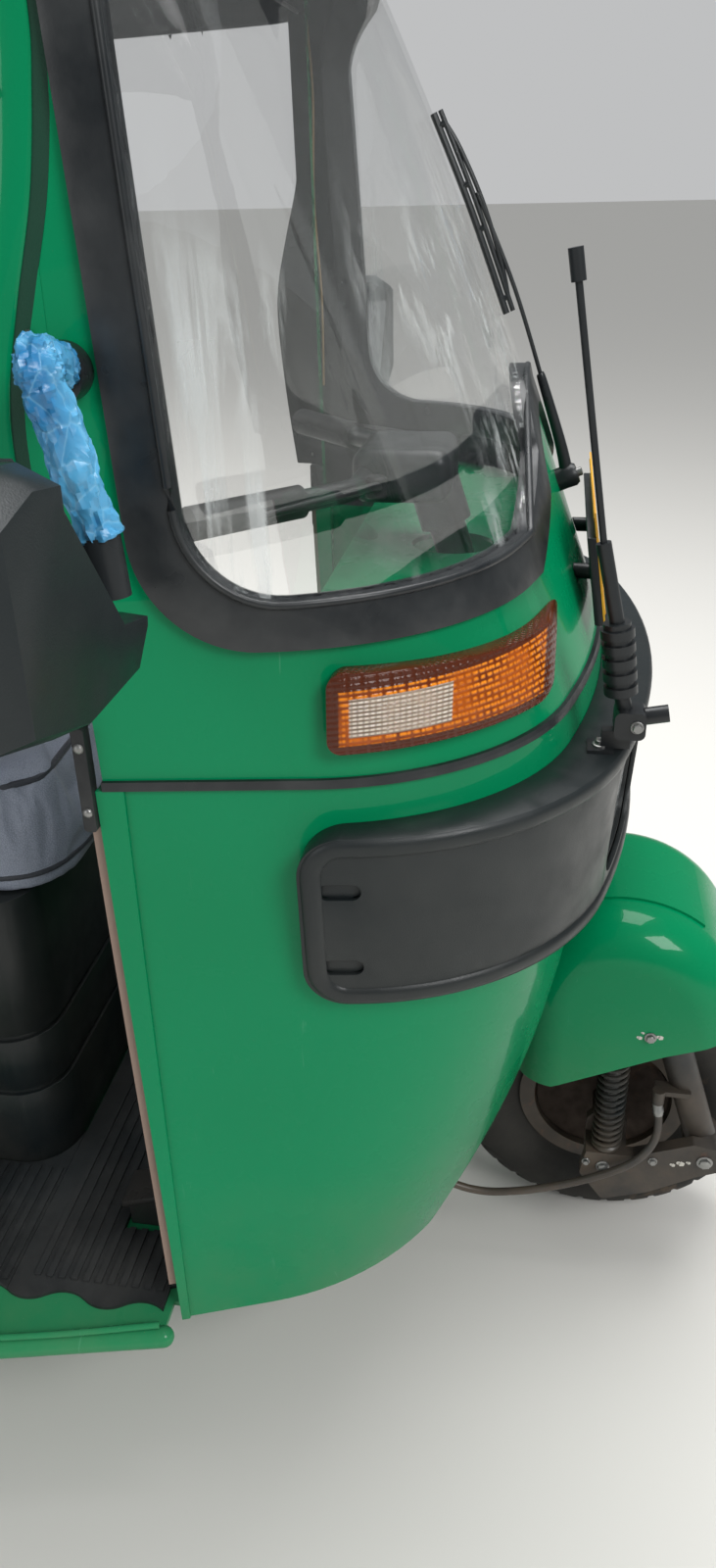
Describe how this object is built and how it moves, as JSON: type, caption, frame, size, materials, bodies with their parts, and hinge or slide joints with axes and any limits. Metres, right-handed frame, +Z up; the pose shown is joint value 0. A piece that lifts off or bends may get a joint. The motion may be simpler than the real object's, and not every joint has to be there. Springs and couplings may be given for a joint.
{
  "type": "auto rickshaw",
  "caption": "Three-wheeled passenger rickshaw with a wrap-round cowl, canvas hood, handlebar steering, sprung wheels and a hinged engine door.",
  "frame": {"origin": "on the ground, below the middle of the vehicle's length and width", "axes": "+Z up, -Y towards the front, -X towards the driver's right hand"},
  "size_m": [1.47, 2.6349, 1.7037],
  "materials": {
    "amber_lens": "moulded amber lens",
    "beige_trim": "matt beige",
    "black_plastic": "grained matt black",
    "black_rubber": "matt",
    "black_steel": "worn satin black",
    "blue_film": "crinkled film",
    "body_green": "gloss green paint",
    "canvas": "coated canvas",
    "cast_metal": "as cast",
    "clear_glass": "clear",
    "leatherette": "grained leatherette",
    "mirror_glass": "polished",
    "red_lens": "moulded red lens",
    "silencer_steel": "heat stained",
    "tyre_rubber": "matt",
    "wheel_paint": "dusty dark paint",
    "yellow_plate": "plain yellow"
  },
  "bodies": {
    "body": {"bench_backrest": "leatherette", "bench_base": "black_steel", "bench_cushion": "leatherette", "brake_pedal": "black_plastic", "chassis_frame": "black_steel", "cowl_seam_trim": "black_rubber", "dash_shelf": "body_green", "driver_backrest": "leatherette", "driver_cushion": "leatherette", "driver_rail": "black_steel", "driver_seat_base": "black_plastic", "engine_block": "cast_metal", "floor_mats": "black_rubber", "floor_pan": "body_green", "front_bumper": "black_plastic", "front_indicators": "amber_lens", "head_tube": "black_steel", "headlamp_bowls": "black_plastic", "headlamp_lenses": "clear_glass", "hood_canopy": "canvas", "hood_frame": "black_steel", "jamb_trims": "beige_trim", "lower_cowl": "body_green", "marker_pole": "black_plastic", "mirror_arms": "black_plastic", "mirror_glasses": "mirror_glass", "mirror_housings": "black_plastic", "mirror_wraps": "blue_film", "number_plate": "yellow_plate", "plate_holder": "black_plastic", "quarter_panel_left": "body_green", "quarter_panel_right": "body_green", "rear_arms": "black_steel", "rear_bumper": "black_steel", "rear_dampers": "black_steel", "rear_panel": "body_green", "rear_window": "clear_glass", "seam_brackets": "black_rubber", "silencer": "silencer_steel", "tail_lamps": "red_lens", "upper_cowl": "body_green", "wheelhouse": "body_green", "windscreen_gasket": "black_rubber", "windscreen_glass": "clear_glass", "wiper": "black_plastic"},
    "steering": {"front_fork": "black_steel", "trailing_link": "black_steel", "front_spring": "black_steel", "front_mudguard": "body_green", "brake_plate": "cast_metal", "handlebar": "black_plastic", "handlebar_grips": "black_rubber", "brake_hose": "black_rubber"},
    "front_wheel": {"front_tyre": "tyre_rubber", "front_rim": "wheel_paint"},
    "rear_wheel_left": {"rear_tyre_left": "tyre_rubber", "rear_rim_left": "wheel_paint"},
    "rear_wheel_right": {"rear_tyre_right": "tyre_rubber", "rear_rim_right": "wheel_paint"},
    "door": {"engine_door": "body_green"}
  },
  "joints": [
    {"name": "steering_turn", "type": "hinge", "parent": "body", "child": "steering", "pos_m": [0, -0.95581, 0.75], "axis": [0, 0.309, 0.9511], "range_deg": [-40, 40], "deforming": ["brake_hose"]},
    {"name": "front_wheel_spin", "type": "hinge", "parent": "steering", "child": "front_wheel", "pos_m": [0, -1.1095, 0.208], "axis": [1, 0, 0], "continuous": true},
    {"name": "rear_left_spin", "type": "hinge", "parent": "body", "child": "rear_wheel_left", "pos_m": [0.575, 0.8905, 0.208], "axis": [1, 0, 0], "continuous": true},
    {"name": "rear_right_spin", "type": "hinge", "parent": "body", "child": "rear_wheel_right", "pos_m": [-0.575, 0.8905, 0.208], "axis": [1, 0, 0], "continuous": true},
    {"name": "engine_door_hinge", "type": "hinge", "parent": "body", "child": "door", "pos_m": [0, 1.2955, 0.783], "axis": [1, 0, 0], "range_deg": [0, 80]}
  ]
}
